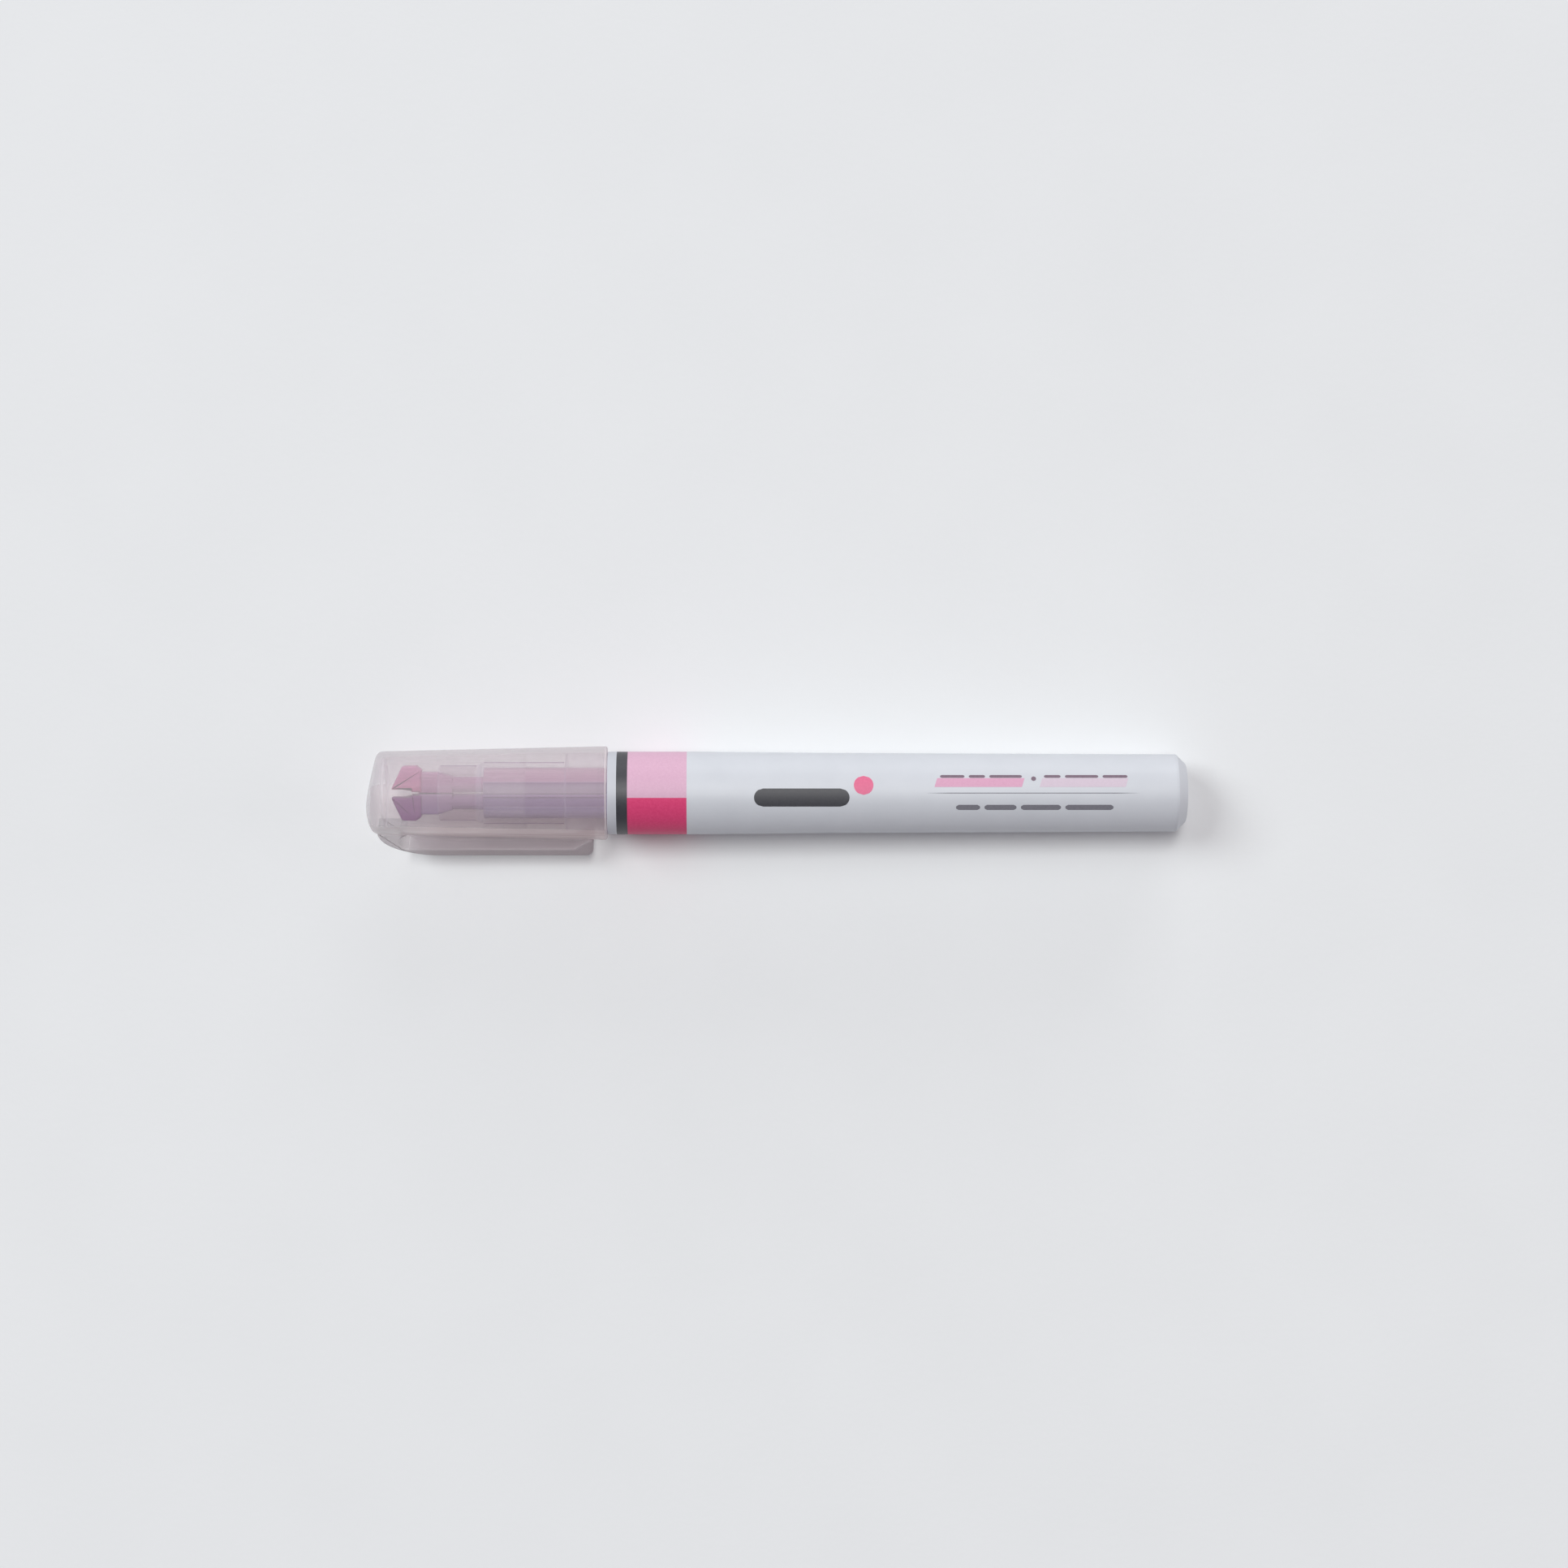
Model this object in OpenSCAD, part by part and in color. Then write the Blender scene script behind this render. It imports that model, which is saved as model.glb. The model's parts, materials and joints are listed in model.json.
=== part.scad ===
// Two-tone highlighter: two chisel nibs side by side under one push-on cap with a pocket clip.
// Each piece is drawn with the pen standing on its closed cap end: the pen's axis is Z, heights
// run from the cap's closed end to the tail, and lie() then lays the pen on the table.

/* [Overall] */
// Length from the cap's closed end to the tail
overall_len = 135; // [132:0.5:145]
// Turn of the barrel and nibs about the pen's axis, in degrees
barrel_roll = 6.6; // [-30:0.2:30]
// Running gap between the cap and what it slides over
running_gap = 0.07; // [0.05:0.01:0.1]

/* [Cap] */
// Length of the cap
cap_len = 39.7; // [38.5:0.1:41]
// Outer radius at the closed end, before rounding
cap_end_r = 6.8; // [6.7:0.01:7]
// Outer radius at the mouth
cap_mouth_r = 7.71; // [7.65:0.01:8.2]
// Wall thickness of the cap ahead of its seat
cap_wall = 0.9; // [0.8:0.05:1]
// Height of the inside floor
cap_floor = 2.7; // [2.6:0.05:2.8]
// Slant of the closed end towards the clip, in degrees
end_slant = 15.5; // [10:0.5:17]
// Radius of the dome that the slanted face turns into on the clip's side
end_dome_r = 8; // [7.5:0.1:10]
// Radius of the flat part of the slanted face, which ends at the axis
end_flat_r = 4.5; // [3.5:0.1:6]
// Chamfer round the mouth
mouth_chamfer = 0.3; // [0.1:0.05:0.4]
// Wall thickness at the mouth
mouth_wall = 1.06; // [1.05:0.01:1.2]
// Length of the seat bore that grips the collar
seat_len = 7.3; // [6:0.1:8]
// Number of ribs that hold the inner cap
cap_ribs = 6; // [3:1:8]
// Thickness of each of those ribs
cap_rib_t = 0.7; // [0.5:0.1:1]

/* [Clip] */
// Distance from the pen's axis to the clip's outer face
clip_outer_r = 10.9; // [10.5:0.05:11.5]
// Width of the clip
clip_w = 5; // [4:0.1:6]
// Thickness of the clip's blade
clip_t = 1.6; // [1.2:0.1:1.8]
// Height of the clip's free end
clip_end = 37.3; // [34:0.1:38]
// Rounding of the clip's long outer edges
clip_edge = 0.5; // [0.2:0.1:0.8]
// Rounding of the outer corner at the free end
clip_corner = 1.2; // [0.6:0.1:1.5]
// Height where the clip's back starts to rise from the cap
clip_rise_start = 1.7; // [1.5:0.1:2.4]
// Height where the clip's back becomes straight
clip_rise_end = 12.1; // [11:0.1:14]
// Height of the thin root where the clip bends
clip_bend = 6.7; // [6.4:0.1:7.4]
// Gap between the tip's bead and the cap
clip_pinch = 0.1; // [0.05:0.05:0.3]

/* [Inner cap] */
// Bore radius of the inner cap
liner_r = 5.12; // [5.12:0.01:5.14]
// Wall thickness of the inner cap
liner_wall = 0.63; // [0.5:0.01:0.65]
// Thickness of the inner cap's closed end
liner_end_t = 0.65; // [0.5:0.05:0.7]
// Height of the inner cap's open end
liner_top = 26.4; // [24:0.2:30]

/* [Front section] */
// Radius of the nose round the nibs
nose_r = 4.53; // [4.5:0.01:4.6]
// Height of the nose's front
nose_start = 12; // [12:0.1:12.4]
// Height where the nose widens
nose_end = 18.3; // [17.5:0.1:18.5]
// Height of the collar's front
collar_start = 32.9; // [32.6:0.1:34]
// Depth of the snap groove in the collar
groove_depth = 0.25; // [0.1:0.05:0.4]
// Length of the stub pressed into the barrel
stub_len = 8; // [6:0.5:9]

/* [Nibs] */
// Height of the nibs' tips
nib_tip = 4.2; // [4:0.1:4.4]
// Distance from the axis to a nib's outer edge
nib_half_w = 4.5; // [4.2:0.05:4.6]
// Thickness of a nib's head
nib_t = 2.9; // [2.4:0.1:3]
// Half the gap between the two necks
nib_gap = 0.28; // [0.2:0.01:0.4]
// Radius of a nib's stem
stem_r = 1.1; // [1:0.05:1.1]

/* [Ink cores] */
// Radius of the round side of an ink core
core_r = 4.15; // [4:0.01:4.15]
// Thickness of the film round a core
film_t = 0.1; // [0.08:0.01:0.1]
// Thickness of the web between the cores
web_t = 0.5; // [0.5:0.05:0.7]
// Height of the cores' front
core_start = 19.5; // [19.5:0.1:20.5]
// Height of the cores' back
core_end = 127; // [120:0.5:128]

/* [Barrel] */
// Outer radius of the barrel's straight front
barrel_r = 6.81; // [6.7:0.01:7]
// Outer radius where the steeper taper ends
barrel_mid_r = 6.59; // [6.4:0.01:6.8]
// Outer radius at the tail
barrel_end_r = 6.37; // [6.2:0.01:6.5]
// Length of the straight front
straight_len = 13.7; // [12:0.1:15]
// Length of the steeper taper
taper_len = 24; // [15:1:40]
// Radius of the bore at the front
bore_r = 5.9; // [5.7:0.05:5.95]
// Radius of the bore at the tail
tail_bore_r = 5.45; // [5.3:0.05:5.5]
// Number of ribs that centre the ink cores
bore_ribs = 4; // [3:1:6]

/* [Tail plug] */
// Chamfer round the tail
tail_chamfer = 1.6; // [1:0.1:2]
// Length of the plug inside the barrel
plug_len = 7; // [5:0.5:8]

/* [Print] */
// Thickness of the printed film, which lies flush with the barrel
print_t = 0.05; // [0.03:0.01:0.08]
// Height where the dark ring starts
ring_start = 41.3; // [40.5:0.1:43]
// Width of the dark ring
ring_w = 1.8; // [1:0.1:3]
// Length of the two colour zones
zone_len = 9.7; // [6:0.1:10]

/* [Hidden] */
$fn = 96;
mouth_gap = 0.1; // between the cap's mouth and the barrel's front face
barrel_start = cap_len + mouth_gap;
barrel_end = overall_len - tail_chamfer - 0.2;
cap_draft = (cap_mouth_r - cap_end_r) / cap_len;
end_level = end_dome_r * (1 - cos(end_slant)); // on the axis, so that the lowest point is at 0
seat_r = cap_mouth_r - mouth_wall;
collar_r = seat_r - running_gap;
seal_r = liner_r - running_gap + 0.02;
liner_start = cap_floor + 0.05;
liner_outer_r = liner_r + liner_wall;
cavity_r = core_r + film_t + 0.05;
stem_y = web_t / 2 + film_t + stem_r + 0.1; // from the axis to the middle of a nib's stem
taper_start = nose_start - 0.1; // where a nib's neck starts to narrow
taper_end = 14.3; // where only its stem is left
stem_end = 22.4;
clip_inner_r = clip_outer_r - clip_t;
root_slot_r = 1.1; // rounded end of the space between clip and cap
joint_gap = 0.05; // between the clip's blade and its root on the cap
far = 30; // larger than any radius

// The pen rests on the cap's mouth, the barrel's tail edge and one long edge of the clip.
lean = atan((cap_mouth_r - barrel_end_r) / (barrel_end - cap_len));
rest_depth = cap_mouth_r + (cap_len - clip_end + clip_corner) * tan(lean);
edge_r = norm([clip_outer_r - clip_edge, clip_w / 2 - clip_edge]);
edge_half = atan((clip_w / 2 - clip_edge) / (clip_outer_r - clip_edge));
clip_droop = asin((rest_depth - clip_edge) / edge_r) - edge_half;
clip_reach = edge_r * cos(clip_droop - edge_half) + clip_edge;
axis_y = (clip_reach - cap_mouth_r) / 2;
axis_z = cap_mouth_r * cos(lean) + cap_len * sin(lean);

// ---- placing ----

// From the standing pen to the pen at rest on the table, centred under its own outline
module lie() {
    translate([-overall_len * cos(lean) / 2, axis_y, axis_z])
        rotate([0, 90 + lean, 0])
            children();
}

// The cap's own turn: a piece drawn with the clip towards +X
module cap_side() {
    lie() rotate([0, 0, clip_droop - 90]) children();
}

// The barrel's own turn: a piece drawn with the rose side towards +Y
module barrel_side() {
    lie() rotate([0, 0, barrel_roll]) children();
}

// ---- shared shapes ----

function arc(centre, r, from, to, steps = 10) =
    [for (i = [0:steps]) centre + r * [cos(from + (to - from) * i / steps),
        sin(from + (to - from) * i / steps)]];

// Outer radius of the cap at a height
function cap_r(z) = cap_end_r + cap_draft * z;

// Distance of the clip's back from the axis at a height: a quarter ellipse, then straight
function clip_back(z) =
    let (foot = cap_end_r - 0.25, run = (clip_rise_end - min(z, clip_rise_end))
        / (clip_rise_end - clip_rise_start))
    foot + (clip_outer_r - foot) * sqrt(max(0, 1 - run * run));

module tube(r_out, r_in, from, to) {
    translate([0, 0, from])
        difference() {
            cylinder(r = r_out, h = to - from);
            translate([0, 0, -1]) cylinder(r = r_in, h = to - from + 2);
        }
}

// A shape drawn as (distance towards the clip, height), made solid to a width across the clip
module across_clip(w) {
    translate([0, w / 2, 0])
        rotate([90, 0, 0])
            linear_extrude(height = w)
                children();
}

// Ribs that stand inwards from a bore, from height to height
module ribs(count, t, r_in, r_out, from, to) {
    for (i = [0:count - 1])
        rotate([0, 0, (i + 0.5) * 360 / count])
            translate([r_in, -t / 2, from])
                cube([r_out - r_in, t, to - from]);
}

// The half of a shape on one side of the split between the two colours
module half(side) {
    intersection() {
        children();
        translate([-far, side > 0 ? 0 : -far, -1]) cube([2 * far, far, overall_len + 2]);
    }
}

// ---- cap and clip ----

// Everything above the closed end's face: flat and slanted, then domed towards the clip
module above_end_face() {
    translate([0, 0, end_level])
        rotate([0, end_slant, 0])
            translate([-end_flat_r, 0, 0])
                rotate_extrude()
                    polygon(concat([[0, 0]], arc([end_flat_r, end_dome_r], end_dome_r, -90, -6, 14),
                        [[2 * far, end_dome_r], [2 * far, 2 * far], [0, 2 * far]]));
}

module cap_outside() {
    intersection() {
        rotate_extrude()
            polygon([[0, -1], [cap_r(-1), -1], [cap_r(cap_len - mouth_chamfer),
                cap_len - mouth_chamfer], [cap_mouth_r - mouth_chamfer, cap_len], [0, cap_len]]);
        above_end_face();
    }
}

// Section of the clip: a bar whose two outer long edges are rounded
module clip_section() {
    edge_x = clip_outer_r - clip_edge;
    edge_y = clip_w / 2 - clip_edge;
    polygon(concat(
        [[0, -clip_w / 2]],
        arc([edge_x, -edge_y], clip_edge, -90, 0, 6),
        arc([edge_x, edge_y], clip_edge, 0, 90, 6),
        [[0, clip_w / 2]]));
}

module clip_bar(from, to) {
    translate([0, 0, from]) linear_extrude(height = to - from) clip_section();
}

// The clip's root: rises from the cap's end and stops at the bend
module clip_root() {
    steps = 10;
    intersection() {
        clip_bar(0, clip_bend);
        across_clip(clip_w) polygon(concat(
            [[cap_end_r - 1, clip_rise_start]],
            [for (i = [0:steps]) let (z = clip_rise_start + (clip_bend - clip_rise_start) * i / steps)
                [clip_back(z), z]],
            arc([clip_inner_r - root_slot_r, clip_bend], root_slot_r, 0, -180),
            [[cap_end_r - 1, clip_bend]]));
    }
}

module cap() {
    cap_side() color([0.80, 0.77, 0.78, 0.55]) {
        difference() {
            union() {
                cap_outside();
                clip_root();
            }
            rotate_extrude()
                polygon([[0, cap_floor], [cap_r(cap_floor) - cap_wall, cap_floor],
                    [cap_r(cap_len - seat_len) - cap_wall, cap_len - seat_len],
                    [seat_r, cap_len - seat_len], [seat_r, cap_len + 1], [0, cap_len + 1]]);
        }
        difference() {
            ribs(cap_ribs, cap_rib_t, liner_r, cap_r(liner_top) - cap_wall + 0.15,
                cap_floor - 0.1, liner_top);
            cylinder(r = liner_outer_r + running_gap, h = liner_top + 1);
        }
    }
}

// The blade: straight back, a bead at the tip that pinches cloth against the cap
module clip_outline() {
    start = clip_bend + joint_gap;
    steps = 6;
    bead_r = 0.6;
    bead_x = cap_r(clip_end) + clip_pinch + bead_r;
    bead_z = clip_end - bead_r;
    bead_rise = 2.5;
    polygon(concat(
        [for (i = [0:steps]) let (z = start + (clip_rise_end - start) * i / steps) [clip_back(z), z]],
        arc([clip_outer_r - clip_corner, clip_end - clip_corner], clip_corner, 0, 90, 8),
        arc([bead_x, bead_z], bead_r, 90, 225, 8),
        [[clip_inner_r, bead_z - bead_rise], [clip_inner_r, start]]));
}

module clip() {
    cap_side() color([0.62, 0.59, 0.60, 0.7])
        intersection() {
            clip_bar(clip_bend, clip_end);
            across_clip(clip_w) clip_outline();
        }
}

// ---- inner cap ----

module inner_cap() {
    bevel = 0.5;
    cap_side() color([0.88, 0.87, 0.88, 0.5])
        rotate_extrude()
            polygon([[0, liner_start], [liner_outer_r - bevel, liner_start],
                [liner_outer_r, liner_start + bevel], [liner_outer_r, liner_top],
                [liner_r + liner_wall / 2, liner_top], [liner_r, liner_top - liner_wall / 2],
                [liner_r, liner_start + liner_end_t], [0, liner_start + liner_end_t]]);
}

// ---- nibs and their holder ----

// Face of one nib, drawn as (distance from the axis, height): chisel edge, head and neck
module nib_outline() {
    tip_y = nib_gap + 0.4;
    head_end = nib_tip + 5;
    polygon([[tip_y, nib_tip], [nib_half_w - 0.05, nib_tip + 1.8], [nib_half_w, nib_tip + 4.1],
        [nib_half_w - 0.7, head_end], [nib_gap, head_end], [nib_gap, nib_tip + 3.4],
        [tip_y, nib_tip + 3.2]]);
}

module neck_outline() {
    polygon([[nib_gap, nib_tip + 4.5], [3.45, nib_tip + 4.5], [3.45, taper_start],
        [stem_y + stem_r, taper_end], [nib_gap, taper_end]]);
}

module slab(t) {
    translate([-t / 2, 0, 0])
        rotate([90, 0, 90])
            linear_extrude(height = t)
                children();
}

module nib() {
    slab(nib_t) nib_outline();
    slab(nib_t - 0.5) neck_outline();
    translate([0, stem_y, taper_end - 1]) cylinder(r = stem_r, h = stem_end - taper_end + 1);
}

module nib_rose() {
    barrel_side() color([0.85, 0.35, 0.50]) nib();
}

module nib_plum() {
    barrel_side() color([0.50, 0.38, 0.52]) mirror([0, 1, 0]) nib();
}

module holder_outside() {
    groove_w = 0.5;
    groove_z = cap_len - 1.3;
    step = 1;
    bevel = 0.4;
    rotate_extrude()
        polygon([[0, nose_start], [nose_r - bevel, nose_start], [nose_r, nose_start + bevel],
            [nose_r, nose_end], [seal_r, nose_end + step], [seal_r, collar_start],
            [collar_r - bevel, collar_start], [collar_r, collar_start + bevel],
            [collar_r, groove_z], [collar_r - groove_depth, groove_z],
            [collar_r - groove_depth, groove_z + groove_w], [collar_r, groove_z + groove_w],
            [collar_r, barrel_start], [bore_r, barrel_start], [bore_r, barrel_start + stub_len],
            [0, barrel_start + stub_len]]);
}

module nib_holder() {
    cavity_start = core_start - 0.1;
    stub_end = barrel_start + stub_len;
    barrel_side() color([0.90, 0.90, 0.92, 0.6]) {
        difference() {
            holder_outside();
            translate([0, 0, nose_start - 0.01])
                cylinder(r1 = 3.85, r2 = 2.95, h = taper_end - nose_start + 0.01);
            for (side = [-1, 1])
                translate([0, side * stem_y, nose_start]) cylinder(r = stem_r, h = 10);
            translate([0, 0, cavity_start]) cylinder(r = cavity_r, h = far);
        }
        intersection() {
            translate([-far / 2, -web_t / 2, cavity_start - 0.5])
                cube([far, web_t, stub_end - cavity_start + 0.5]);
            cylinder(r = cavity_r + 0.1, h = overall_len);
        }
    }
}

// ---- ink cores ----

module core() {
    difference() {
        half(1) translate([0, 0, core_start]) cylinder(r = core_r, h = core_end - core_start);
        translate([-far, -1, 0]) cube([2 * far, 1 + web_t / 2 + film_t, overall_len]);
        translate([0, stem_y, core_start - 1]) cylinder(r = stem_r, h = stem_end - core_start + 1);
    }
}

// Film round a core, open at both ends, with a lengthwise seam
module film() {
    seam_w = 0.4;
    seam_y = 2.04;
    film_r = core_r + film_t;
    difference() {
        half(1) translate([0, 0, core_start]) cylinder(r = film_r, h = core_end - core_start - 0.2);
        translate([-far, -1, 0]) cube([2 * far, 1 + web_t / 2, overall_len]);
        intersection() {
            cylinder(r = core_r, h = overall_len);
            translate([-far, web_t / 2 + film_t, 0]) cube([2 * far, far, overall_len]);
        }
        translate([-far, seam_y - seam_w / 2, 0]) cube([far, seam_w, overall_len]);
    }
}

module reservoir_rose() {
    barrel_side() color([0.88, 0.55, 0.70]) core();
}

module reservoir_plum() {
    barrel_side() color([0.52, 0.42, 0.58]) mirror([0, 1, 0]) core();
}

module film_rose() {
    barrel_side() color([0.92, 0.80, 0.88, 0.6]) film();
}

module film_plum() {
    barrel_side() color([0.75, 0.70, 0.82, 0.6]) mirror([0, 1, 0]) film();
}

// ---- barrel, plug and print ----

module barrel() {
    straight_end = barrel_start + straight_len;
    recess_end = ring_start + ring_w + zone_len;
    rib_start = barrel_start + stub_len + 2;
    barrel_side() color([0.90, 0.91, 0.93]) {
        rotate_extrude()
            polygon([[bore_r, barrel_start], [barrel_r, barrel_start], [barrel_r, ring_start],
                [barrel_r - print_t, ring_start], [barrel_r - print_t, recess_end],
                [barrel_r, recess_end], [barrel_r, straight_end],
                [barrel_mid_r, straight_end + taper_len], [barrel_end_r, barrel_end],
                [tail_bore_r, barrel_end], [tail_bore_r, barrel_end - plug_len - 0.2],
                [bore_r, barrel_start + stub_len + 1]]);
        ribs(bore_ribs, 0.6, cavity_r, bore_r + 0.15, rib_start, barrel_end - plug_len - 0.5);
    }
}

module tail_plug() {
    barrel_side() color([0.90, 0.91, 0.93])
        rotate_extrude()
            polygon([[0, overall_len], [barrel_end_r - tail_chamfer, overall_len],
                [barrel_end_r, overall_len - tail_chamfer], [barrel_end_r, barrel_end],
                [tail_bore_r, barrel_end], [tail_bore_r, barrel_end - plug_len],
                [cavity_r, barrel_end - plug_len], [cavity_r, barrel_end - 2], [0, barrel_end - 2]]);
}

module print_ring() {
    barrel_side() color([0.33, 0.33, 0.36])
        tube(barrel_r, barrel_r - print_t, ring_start, ring_start + ring_w);
}

module colour_zone() {
    tube(barrel_r, barrel_r - print_t, ring_start + ring_w, ring_start + ring_w + zone_len);
}

module print_pale() {
    barrel_side() color([0.90, 0.75, 0.82]) half(1) colour_zone();
}

module print_vivid() {
    barrel_side() color([0.82, 0.28, 0.44]) half(-1) colour_zone();
}

cap();
clip();
inner_cap();
nib_rose();
nib_plum();
nib_holder();
reservoir_rose();
reservoir_plum();
film_rose();
film_plum();
barrel();
tail_plug();
print_ring();
print_pale();
print_vivid();
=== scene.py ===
"""Two-tone highlighter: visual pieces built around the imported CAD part, which lies on the floor.

Lengths are in mm in the pen's own frames and in metres in the row frame. Colours are linear RGB."""
import json
import math

import bmesh
import bpy
import numpy as np
from mathutils import Matrix, Vector


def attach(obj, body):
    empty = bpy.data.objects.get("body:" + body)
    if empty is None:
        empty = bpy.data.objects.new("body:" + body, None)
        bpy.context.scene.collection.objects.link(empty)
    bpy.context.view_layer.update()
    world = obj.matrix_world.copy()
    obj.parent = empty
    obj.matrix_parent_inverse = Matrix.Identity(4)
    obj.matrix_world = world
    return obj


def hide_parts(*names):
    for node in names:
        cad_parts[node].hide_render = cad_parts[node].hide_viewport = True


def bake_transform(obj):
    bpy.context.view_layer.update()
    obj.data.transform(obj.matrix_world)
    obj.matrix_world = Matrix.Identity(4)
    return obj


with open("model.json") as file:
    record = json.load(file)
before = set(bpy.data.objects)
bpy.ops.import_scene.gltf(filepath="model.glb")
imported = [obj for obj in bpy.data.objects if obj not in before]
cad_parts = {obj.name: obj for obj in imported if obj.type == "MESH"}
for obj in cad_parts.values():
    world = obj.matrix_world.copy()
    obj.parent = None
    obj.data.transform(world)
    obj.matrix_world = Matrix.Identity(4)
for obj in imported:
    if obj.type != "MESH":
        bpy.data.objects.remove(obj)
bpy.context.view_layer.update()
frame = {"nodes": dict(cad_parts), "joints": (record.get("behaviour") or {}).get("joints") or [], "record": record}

MM = 0.001
NODES = frame["nodes"]
MOUNTS = {m["name"]: m for m in frame["record"]["mounts"]}
JOINTS = {j["name"]: j for j in frame["joints"]}

# ---------------------------------------------------------------- the pen's own frames
# Both frames stand the pen on its closed cap end, in mm: Z runs from there to the tail.

AXIS = Vector(MOUNTS["tail_face"]["axis"]).normalized()
TAIL = Vector(MOUNTS["tail_face"]["pos_m"])


def vertices(node):
    """The node's vertices in the row frame, in metres."""
    mesh = NODES[node].data
    flat = np.empty(len(mesh.vertices) * 3, np.float32)
    mesh.vertices.foreach_get("co", flat)
    return flat.reshape(-1, 3).astype(float)


LENGTH = -float(((vertices("cap") - np.array(TAIL)) @ np.array(AXIS)).min()) / MM
ORIGIN = TAIL - AXIS * LENGTH * MM


def pen_frame(x_direction):
    """Matrix from mm in the standing pen to metres in the row frame."""
    x = (x_direction - AXIS * x_direction.dot(AXIS)).normalized()
    y = AXIS.cross(x)
    columns = Matrix((x, y, AXIS)).transposed().to_4x4()
    return Matrix.Translation(ORIGIN) @ columns @ Matrix.Scale(MM, 4)


rose_side = Vector(vertices("print_pale").mean(axis=0)) - ORIGIN
CAP = pen_frame(Vector(JOINTS["clip_flex"]["axis"]).cross(AXIS))  # X towards the clip
PEN = pen_frame(rose_side.cross(AXIS))  # Y towards the rose nib


def rz(node, placed=PEN):
    """Radius and height of each of the node's vertices, in mm."""
    inverse = np.array(placed.inverted())
    local = vertices(node) @ inverse[:3, :3].T + inverse[:3, 3]
    return np.hypot(local[:, 0], local[:, 1]), local[:, 2]


def heights(node):
    z = rz(node)[1]
    return float(z.min()), float(z.max())


def radius(node, low=-1e3, high=1e3, pick=max):
    """Largest or smallest radius of the node's vertices between two heights."""
    r, z = rz(node)
    return float(pick(r[(z > low) & (z < high)]))


# ---------------------------------------------------------------- measures, in mm
BARREL_START, BARREL_END = heights("barrel")
CAP_LEN = heights("cap")[1]
MOUTH_R = radius("cap", CAP_LEN - 1) - 0.003  # just inside the CAD surface, as it sets the box
CAP_DRAFT = 0.0229  # growth of the cap's radius per mm of height
CAP_WALL = 0.9
CAP_FLOOR = 2.7
SEAT_START = 32.4  # where the bore opens into the seat for the collar
SEAT_R = radius("cap", CAP_LEN - 0.1, pick=min)
END_SLANT = math.radians(15.5)
END_DOME_R = 8.0
END_FLAT_R = 4.5
END_LEVEL = END_DOME_R * (1 - math.cos(END_SLANT))
RIM_ROUND = 0.9  # how far the rounding of the closed end's rim reaches

BEND, CLIP_END = heights("clip")
CLIP_OUT = 10.88  # just inside the CAD surface, as it sets the box
CLIP_IN = 9.3
CLIP_W = 5.0
CLIP_RISE = (1.7, 12.1)  # between these heights the clip's back curves out to its full distance

LINER_START, LINER_TOP = heights("inner_cap")
LINER_OUT = radius("inner_cap")
LINER_IN = radius("inner_cap", LINER_START + 1, LINER_TOP - 0.1, pick=min)

NOSE_START, HOLDER_END = heights("nib_holder")
NIB_TIP = heights("nib_rose")[0]
BARREL_R = float(MOUNTS["barrel_front"]["dims"]["r_mm"])
STRAIGHT_END = BARREL_START + MOUNTS["barrel_front"]["dims"]["length_mm"]
TAPER_LEN = 24.0  # the first and steeper part of the barrel's taper
BARREL_MID_R = 6.59
BARREL_END_R = radius("barrel", BARREL_END - 0.05)
BARREL_BORE_R = 5.9
TOP_TURN = math.radians(180 - 6.6)  # the turn in PEN that faces straight up at rest
RING = heights("print_ring")
ZONE = heights("print_pale")
PRINT_R = BARREL_R - 0.05  # under the printed films

STEM_R = 1.25
STEM_Y = 1.42
NIB_GAP = 0.28  # half of the gap between the nibs' heads
NECK_GAP = 0.08
NECK_Y = 3.45
TAPER_END = 14.3  # where the necks end, and the holder's front face begins
CAVITY_R = 4.3
CAVITY_START = 19.4


def cap_r(z):
    """Outer radius of the cap at a height."""
    return MOUTH_R + CAP_DRAFT * (z - CAP_LEN)


def barrel_r(z):
    """Outer radius of the barrel at a height."""
    return float(np.interp(z, [STRAIGHT_END, STRAIGHT_END + TAPER_LEN, BARREL_END],
                           [BARREL_R, BARREL_MID_R, BARREL_END_R]))


# ---------------------------------------------------------------- outlines
def arc(centre, r, start, end, steps=8):
    """Points on a circle from one angle to another, in degrees."""
    angles = np.radians(np.linspace(start, end, steps + 1))
    return [(centre[0] + r * math.cos(a), centre[1] + r * math.sin(a)) for a in angles]


def rounded(points, closed=True, steps=5):
    """An outline whose corners (x, y, r) are rounded to radius r. A corner (x, y) stays sharp."""
    made = []
    count = len(points)
    for i, point in enumerate(points):
        r = point[2] if len(point) > 2 else 0
        corner = Vector(point[:2])
        if r == 0 or (not closed and i in (0, count - 1)):
            made.append(tuple(corner))
            continue
        back = (Vector(points[i - 1][:2]) - corner).normalized()
        on = (Vector(points[(i + 1) % count][:2]) - corner).normalized()
        half = back.angle(on) / 2
        reach = r / math.tan(half)
        centre = corner + (back + on).normalized() * (r / math.sin(half))
        first, last = corner + back * reach - centre, corner + on * reach - centre
        turn = first.angle_signed(last)
        for k in range(steps + 1):
            a = -turn * k / steps
            x = first.x * math.cos(a) - first.y * math.sin(a)
            y = first.x * math.sin(a) + first.y * math.cos(a)
            made.append((centre.x + x, centre.y + y))
    return made


def dense(outline, step):
    """The closed outline with its long sides cut into pieces no longer than step."""
    made = []
    for a, b in zip(outline, outline[1:] + outline[:1]):
        n = max(1, math.ceil(math.dist(a, b) / step))
        made += [(a[0] + (b[0] - a[0]) * k / n, a[1] + (b[1] - a[1]) * k / n) for k in range(n)]
    return made


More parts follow.
